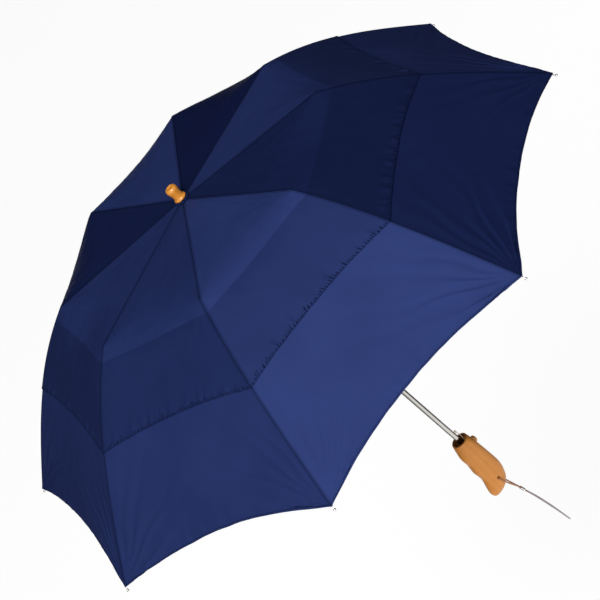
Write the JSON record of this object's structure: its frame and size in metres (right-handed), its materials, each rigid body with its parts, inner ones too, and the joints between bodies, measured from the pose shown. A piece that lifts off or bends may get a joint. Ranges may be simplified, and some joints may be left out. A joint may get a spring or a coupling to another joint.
{
  "type": "folding umbrella",
  "caption": "Open folding umbrella with a two-layer vented fabric canopy, telescopic steel shaft, carved wooden handle with push button, and leather wrist strap.",
  "frame": {"origin": "middle of the wooden grip, on the shaft's axis, where a hand holds it", "axes": "+Z along the shaft from the handle to the finial, as the umbrella is held over the head; +X towards the finger side of the handle, -X towards its push button; the strap hole runs along Y"},
  "size_m": [0.933, 0.933, 0.9113],
  "materials": {
    "varnished_wood": "clear gloss varnish over straight-grained honey-coloured wood",
    "chrome_tube": "polished chrome plate",
    "rib_steel": "bright zinc-plated steel, satin",
    "navy_cloth": "close plain weave with a soft sheen",
    "black_plastic": "moulded, satin",
    "clear_plastic": "translucent off-white moulding",
    "leather_thong": "smooth brown leather, slightly waxed"
  },
  "bodies": {
    "grip": {"handle": "varnished_wood", "lower_tube": "chrome_tube", "spring_seat": "black_plastic", "main_spring": "rib_steel", "latch_block": "varnished_wood", "latch_pin": "rib_steel", "latch_spring": "rib_steel", "wrist_strap": "leather_thong", "strap_clamp": "rib_steel"},
    "button": {"push_button": "varnished_wood"},
    "latch": {"latch_lever": "clear_plastic"},
    "mast": {"upper_tube": "chrome_tube", "crown": "black_plastic", "crown_wire": "rib_steel", "finial": "varnished_wood", "rosette": "navy_cloth", "canopy_top": "navy_cloth", "canopy_bottom": "navy_cloth"},
    "runner": {"runner": "black_plastic"},
    "top_1": {"top_rib_1": "rib_steel"},
    "stretch_1": {"stretcher_1": "rib_steel"},
    "outer_1": {"outer_rib_1": "rib_steel", "rib_tip_1": "rib_steel"},
    "rod_1": {"link_rod_1": "rib_steel"},
    "top_2": {"top_rib_2": "rib_steel"},
    "stretch_2": {"stretcher_2": "rib_steel"},
    "outer_2": {"outer_rib_2": "rib_steel", "rib_tip_2": "rib_steel"},
    "rod_2": {"link_rod_2": "rib_steel"},
    "top_3": {"top_rib_3": "rib_steel"},
    "stretch_3": {"stretcher_3": "rib_steel"},
    "outer_3": {"outer_rib_3": "rib_steel", "rib_tip_3": "rib_steel"},
    "rod_3": {"link_rod_3": "rib_steel"},
    "top_4": {"top_rib_4": "rib_steel"},
    "stretch_4": {"stretcher_4": "rib_steel"},
    "outer_4": {"outer_rib_4": "rib_steel", "rib_tip_4": "rib_steel"},
    "rod_4": {"link_rod_4": "rib_steel"},
    "top_5": {"top_rib_5": "rib_steel"},
    "stretch_5": {"stretcher_5": "rib_steel"},
    "outer_5": {"outer_rib_5": "rib_steel", "rib_tip_5": "rib_steel"},
    "rod_5": {"link_rod_5": "rib_steel"},
    "top_6": {"top_rib_6": "rib_steel"},
    "stretch_6": {"stretcher_6": "rib_steel"},
    "outer_6": {"outer_rib_6": "rib_steel", "rib_tip_6": "rib_steel"},
    "rod_6": {"link_rod_6": "rib_steel"},
    "top_7": {"top_rib_7": "rib_steel"},
    "stretch_7": {"stretcher_7": "rib_steel"},
    "outer_7": {"outer_rib_7": "rib_steel", "rib_tip_7": "rib_steel"},
    "rod_7": {"link_rod_7": "rib_steel"},
    "top_8": {"top_rib_8": "rib_steel"},
    "stretch_8": {"stretcher_8": "rib_steel"},
    "outer_8": {"outer_rib_8": "rib_steel", "rib_tip_8": "rib_steel"},
    "rod_8": {"link_rod_8": "rib_steel"}
  },
  "joints": [
    {"name": "telescope", "type": "slide", "parent": "grip", "child": "mast", "axis": [0, 0, 1], "range_m": [-0.29224, 0], "stiffness_N_per_m": 60, "springref_m": 0.12, "deforming": ["main_spring"]},
    {"name": "fold", "type": "slide", "parent": "mast", "child": "runner", "axis": [0, 0, 1], "range_m": [-0.18218, 0], "deforming": ["canopy_top", "canopy_bottom"]},
    {"name": "button_press", "type": "slide", "parent": "grip", "child": "button", "axis": [1, 0, 0], "range_m": [0, 0.00165], "stiffness_N_per_m": 600, "springref_m": -0.002},
    {"name": "latch_tilt", "type": "hinge", "parent": "grip", "child": "latch", "pos_m": [-0.0072, 0, 0.0525], "axis": [0, -1, 0], "range_deg": [0, 8.64], "deforming": ["latch_spring"]},
    {"name": "top_hinge_1", "type": "hinge", "parent": "mast", "child": "top_1", "pos_m": [0.00739, 0.00306, 0.6735], "axis": [0.3827, -0.9239, 0], "range_deg": [-73.02, 0]},
    {"name": "cross_hinge_1", "type": "hinge", "parent": "top_1", "child": "stretch_1", "pos_m": [0.11716, 0.04853, 0.64167], "axis": [0.3827, -0.9239, 0], "range_deg": [0, 146.02]},
    {"name": "elbow_hinge_1", "type": "hinge", "parent": "stretch_1", "child": "outer_1", "pos_m": [0.22692, 0.09399, 0.6735], "axis": [0.3827, -0.9239, 0], "range_deg": [-124.39, 0]},
    {"name": "rod_hinge_1", "type": "hinge", "parent": "top_1", "child": "rod_1", "pos_m": [0.12965, 0.0537, 0.63804], "axis": [0.3827, -0.9239, 0], "range_deg": [0, 146.49]},
    {"name": "top_hinge_2", "type": "hinge", "parent": "mast", "child": "top_2", "pos_m": [0.00306, 0.00739, 0.6735], "axis": [0.9239, -0.3827, 0], "range_deg": [-73.02, 0]},
    {"name": "cross_hinge_2", "type": "hinge", "parent": "top_2", "child": "stretch_2", "pos_m": [0.04853, 0.11716, 0.64167], "axis": [0.9239, -0.3827, 0], "range_deg": [0, 146.02]},
    {"name": "elbow_hinge_2", "type": "hinge", "parent": "stretch_2", "child": "outer_2", "pos_m": [0.09399, 0.22692, 0.6735], "axis": [0.9239, -0.3827, 0], "range_deg": [-124.39, 0]},
    {"name": "rod_hinge_2", "type": "hinge", "parent": "top_2", "child": "rod_2", "pos_m": [0.0537, 0.12965, 0.63804], "axis": [0.9239, -0.3827, 0], "range_deg": [0, 146.49]},
    {"name": "top_hinge_3", "type": "hinge", "parent": "mast", "child": "top_3", "pos_m": [-0.00306, 0.00739, 0.6735], "axis": [0.9239, 0.3827, 0], "range_deg": [-73.02, 0]},
    {"name": "cross_hinge_3", "type": "hinge", "parent": "top_3", "child": "stretch_3", "pos_m": [-0.04853, 0.11716, 0.64167], "axis": [0.9239, 0.3827, 0], "range_deg": [0, 146.02]},
    {"name": "elbow_hinge_3", "type": "hinge", "parent": "stretch_3", "child": "outer_3", "pos_m": [-0.09399, 0.22692, 0.6735], "axis": [0.9239, 0.3827, 0], "range_deg": [-124.39, 0]},
    {"name": "rod_hinge_3", "type": "hinge", "parent": "top_3", "child": "rod_3", "pos_m": [-0.0537, 0.12965, 0.63804], "axis": [0.9239, 0.3827, 0], "range_deg": [0, 146.49]},
    {"name": "top_hinge_4", "type": "hinge", "parent": "mast", "child": "top_4", "pos_m": [-0.00739, 0.00306, 0.6735], "axis": [0.3827, 0.9239, 0], "range_deg": [-73.02, 0]},
    {"name": "cross_hinge_4", "type": "hinge", "parent": "top_4", "child": "stretch_4", "pos_m": [-0.11716, 0.04853, 0.64167], "axis": [0.3827, 0.9239, 0], "range_deg": [0, 146.02]},
    {"name": "elbow_hinge_4", "type": "hinge", "parent": "stretch_4", "child": "outer_4", "pos_m": [-0.22692, 0.09399, 0.6735], "axis": [0.3827, 0.9239, 0], "range_deg": [-124.39, 0]},
    {"name": "rod_hinge_4", "type": "hinge", "parent": "top_4", "child": "rod_4", "pos_m": [-0.12965, 0.0537, 0.63804], "axis": [0.3827, 0.9239, 0], "range_deg": [0, 146.49]},
    {"name": "top_hinge_5", "type": "hinge", "parent": "mast", "child": "top_5", "pos_m": [-0.00739, -0.00306, 0.6735], "axis": [-0.3827, 0.9239, 0], "range_deg": [-73.02, 0]},
    {"name": "cross_hinge_5", "type": "hinge", "parent": "top_5", "child": "stretch_5", "pos_m": [-0.11716, -0.04853, 0.64167], "axis": [-0.3827, 0.9239, 0], "range_deg": [0, 146.02]},
    {"name": "elbow_hinge_5", "type": "hinge", "parent": "stretch_5", "child": "outer_5", "pos_m": [-0.22692, -0.09399, 0.6735], "axis": [-0.3827, 0.9239, 0], "range_deg": [-124.39, 0]},
    {"name": "rod_hinge_5", "type": "hinge", "parent": "top_5", "child": "rod_5", "pos_m": [-0.12965, -0.0537, 0.63804], "axis": [-0.3827, 0.9239, 0], "range_deg": [0, 146.49]},
    {"name": "top_hinge_6", "type": "hinge", "parent": "mast", "child": "top_6", "pos_m": [-0.00306, -0.00739, 0.6735], "axis": [-0.9239, 0.3827, 0], "range_deg": [-73.02, 0]},
    {"name": "cross_hinge_6", "type": "hinge", "parent": "top_6", "child": "stretch_6", "pos_m": [-0.04853, -0.11716, 0.64167], "axis": [-0.9239, 0.3827, 0], "range_deg": [0, 146.02]},
    {"name": "elbow_hinge_6", "type": "hinge", "parent": "stretch_6", "child": "outer_6", "pos_m": [-0.09399, -0.22692, 0.6735], "axis": [-0.9239, 0.3827, 0], "range_deg": [-124.39, 0]},
    {"name": "rod_hinge_6", "type": "hinge", "parent": "top_6", "child": "rod_6", "pos_m": [-0.0537, -0.12965, 0.63804], "axis": [-0.9239, 0.3827, 0], "range_deg": [0, 146.49]},
    {"name": "top_hinge_7", "type": "hinge", "parent": "mast", "child": "top_7", "pos_m": [0.00306, -0.00739, 0.6735], "axis": [-0.9239, -0.3827, 0], "range_deg": [-73.02, 0]},
    {"name": "cross_hinge_7", "type": "hinge", "parent": "top_7", "child": "stretch_7", "pos_m": [0.04853, -0.11716, 0.64167], "axis": [-0.9239, -0.3827, 0], "range_deg": [0, 146.02]},
    {"name": "elbow_hinge_7", "type": "hinge", "parent": "stretch_7", "child": "outer_7", "pos_m": [0.09399, -0.22692, 0.6735], "axis": [-0.9239, -0.3827, 0], "range_deg": [-124.39, 0]},
    {"name": "rod_hinge_7", "type": "hinge", "parent": "top_7", "child": "rod_7", "pos_m": [0.0537, -0.12965, 0.63804], "axis": [-0.9239, -0.3827, 0], "range_deg": [0, 146.49]},
    {"name": "top_hinge_8", "type": "hinge", "parent": "mast", "child": "top_8", "pos_m": [0.00739, -0.00306, 0.6735], "axis": [-0.3827, -0.9239, 0], "range_deg": [-73.02, 0]},
    {"name": "cross_hinge_8", "type": "hinge", "parent": "top_8", "child": "stretch_8", "pos_m": [0.11716, -0.04853, 0.64167], "axis": [-0.3827, -0.9239, 0], "range_deg": [0, 146.02]},
    {"name": "elbow_hinge_8", "type": "hinge", "parent": "stretch_8", "child": "outer_8", "pos_m": [0.22692, -0.09399, 0.6735], "axis": [-0.3827, -0.9239, 0], "range_deg": [-124.39, 0]},
    {"name": "rod_hinge_8", "type": "hinge", "parent": "top_8", "child": "rod_8", "pos_m": [0.12965, -0.0537, 0.63804], "axis": [-0.3827, -0.9239, 0], "range_deg": [0, 146.49]}
  ],
  "couplings": [
    {"joint": "latch_tilt", "follows": "button_press", "rad_per_m": 90.909},
    {"joint": "top_hinge_1", "follows": "fold", "rad_per_m": 6.9936},
    {"joint": "cross_hinge_1", "follows": "fold", "rad_per_m": -13.987},
    {"joint": "elbow_hinge_1", "follows": "fold", "rad_per_m": 11.915},
    {"joint": "rod_hinge_1", "follows": "fold", "rad_per_m": -14.032},
    {"joint": "top_hinge_2", "follows": "fold", "rad_per_m": 6.9936},
    {"joint": "cross_hinge_2", "follows": "fold", "rad_per_m": -13.987},
    {"joint": "elbow_hinge_2", "follows": "fold", "rad_per_m": 11.915},
    {"joint": "rod_hinge_2", "follows": "fold", "rad_per_m": -14.032},
    {"joint": "top_hinge_3", "follows": "fold", "rad_per_m": 6.9936},
    {"joint": "cross_hinge_3", "follows": "fold", "rad_per_m": -13.987},
    {"joint": "elbow_hinge_3", "follows": "fold", "rad_per_m": 11.915},
    {"joint": "rod_hinge_3", "follows": "fold", "rad_per_m": -14.032},
    {"joint": "top_hinge_4", "follows": "fold", "rad_per_m": 6.9936},
    {"joint": "cross_hinge_4", "follows": "fold", "rad_per_m": -13.987},
    {"joint": "elbow_hinge_4", "follows": "fold", "rad_per_m": 11.915},
    {"joint": "rod_hinge_4", "follows": "fold", "rad_per_m": -14.032},
    {"joint": "top_hinge_5", "follows": "fold", "rad_per_m": 6.9936},
    {"joint": "cross_hinge_5", "follows": "fold", "rad_per_m": -13.987},
    {"joint": "elbow_hinge_5", "follows": "fold", "rad_per_m": 11.915},
    {"joint": "rod_hinge_5", "follows": "fold", "rad_per_m": -14.032},
    {"joint": "top_hinge_6", "follows": "fold", "rad_per_m": 6.9936},
    {"joint": "cross_hinge_6", "follows": "fold", "rad_per_m": -13.987},
    {"joint": "elbow_hinge_6", "follows": "fold", "rad_per_m": 11.915},
    {"joint": "rod_hinge_6", "follows": "fold", "rad_per_m": -14.032},
    {"joint": "top_hinge_7", "follows": "fold", "rad_per_m": 6.9936},
    {"joint": "cross_hinge_7", "follows": "fold", "rad_per_m": -13.987},
    {"joint": "elbow_hinge_7", "follows": "fold", "rad_per_m": 11.915},
    {"joint": "rod_hinge_7", "follows": "fold", "rad_per_m": -14.032},
    {"joint": "top_hinge_8", "follows": "fold", "rad_per_m": 6.9936},
    {"joint": "cross_hinge_8", "follows": "fold", "rad_per_m": -13.987},
    {"joint": "elbow_hinge_8", "follows": "fold", "rad_per_m": 11.915},
    {"joint": "rod_hinge_8", "follows": "fold", "rad_per_m": -14.032}
  ]
}
